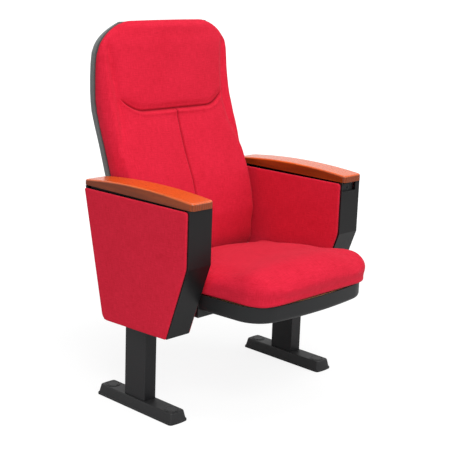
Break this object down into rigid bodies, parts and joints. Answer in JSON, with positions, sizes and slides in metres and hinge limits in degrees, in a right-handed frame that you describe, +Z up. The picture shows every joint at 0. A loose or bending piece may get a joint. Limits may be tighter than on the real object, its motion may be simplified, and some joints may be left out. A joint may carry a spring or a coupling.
{
  "type": "tip up auditorium seat",
  "caption": "Floor fixed auditorium seat with a tip up cushion, high fixed back, upholstered arm boxes, wooden arm caps and an arm lid over a stowed writing tablet.",
  "frame": {"origin": "on the floor, midway between the four floor bolts", "axes": "+X to the right as seen from the front, +Y to the back of the seat, +Z up"},
  "size_m": [0.692, 0.6872, 1.024],
  "materials": {
    "fabric_red": "woven upholstery",
    "wood_stained": "clear lacquer",
    "wood_plain": "bare plywood",
    "steel_black": "satin powder coat",
    "steel_zinc": "zinc plated",
    "plastic_black": "fine grain",
    "plastic_grey": "fine grain",
    "nylon": "natural",
    "rubber": "matt",
    "laminate": "laminate"
  },
  "bodies": {
    "standards": {"back_board": "wood_plain", "back_cushion": "fabric_red", "back_shell": "plastic_grey", "left_arm_cap": "wood_stained", "left_arm_rail": "steel_black", "left_back_bolts": "steel_zinc", "left_back_bracket": "steel_black", "left_base_band": "plastic_black", "left_bolt_caps": "plastic_black", "left_cap_spacer": "plastic_black", "left_column": "steel_black", "left_foot_cover": "plastic_black", "left_foot_plate": "steel_black", "left_front_band": "plastic_black", "left_inner_panel": "fabric_red", "left_outer_panel": "fabric_red", "left_pivot_pin": "steel_zinc", "left_rear_band": "plastic_black", "left_stop_peg": "steel_zinc", "left_stop_sleeve": "rubber", "lid_fixed_leaf": "steel_zinc", "lid_hinge_bar": "steel_black", "lid_hinge_pin": "steel_zinc", "lid_rest_pads": "rubber", "right_arm_rail": "steel_black", "right_back_bolts": "steel_zinc", "right_back_bracket": "steel_black", "right_base_band": "plastic_black", "right_bolt_caps": "plastic_black", "right_column": "steel_black", "right_foot_cover": "plastic_black", "right_foot_plate": "steel_black", "right_front_band": "plastic_black", "right_inner_panel": "fabric_red", "right_outer_panel": "fabric_red", "right_pivot_pin": "steel_zinc", "right_rear_band": "plastic_black", "right_stop_peg": "steel_zinc", "right_stop_sleeve": "rubber", "tablet_arm": "steel_black", "tablet_board": "laminate", "tablet_bracket": "steel_black", "tablet_pivot_pin": "steel_zinc", "tablet_rest": "rubber"},
    "seat": {"seat_pan": "plastic_black", "seat_board": "wood_plain", "seat_cushion": "fabric_red", "seat_screws": "steel_zinc", "left_seat_hinge": "steel_black", "right_seat_hinge": "steel_black", "left_seat_bush": "nylon", "right_seat_bush": "nylon"},
    "arm_lid": {"right_arm_lid": "wood_stained", "lid_moving_leaf": "steel_zinc"}
  },
  "joints": [
    {"name": "seat_tip", "type": "hinge", "parent": "standards", "child": "seat", "pos_m": [0, 0.021, 0.327], "axis": [-1, 0, 0], "range_deg": [0, 75]},
    {"name": "arm_lid_open", "type": "hinge", "parent": "standards", "child": "arm_lid", "pos_m": [0.343, 0, 0.591], "axis": [0, 1, 0], "range_deg": [0, 100]}
  ]
}
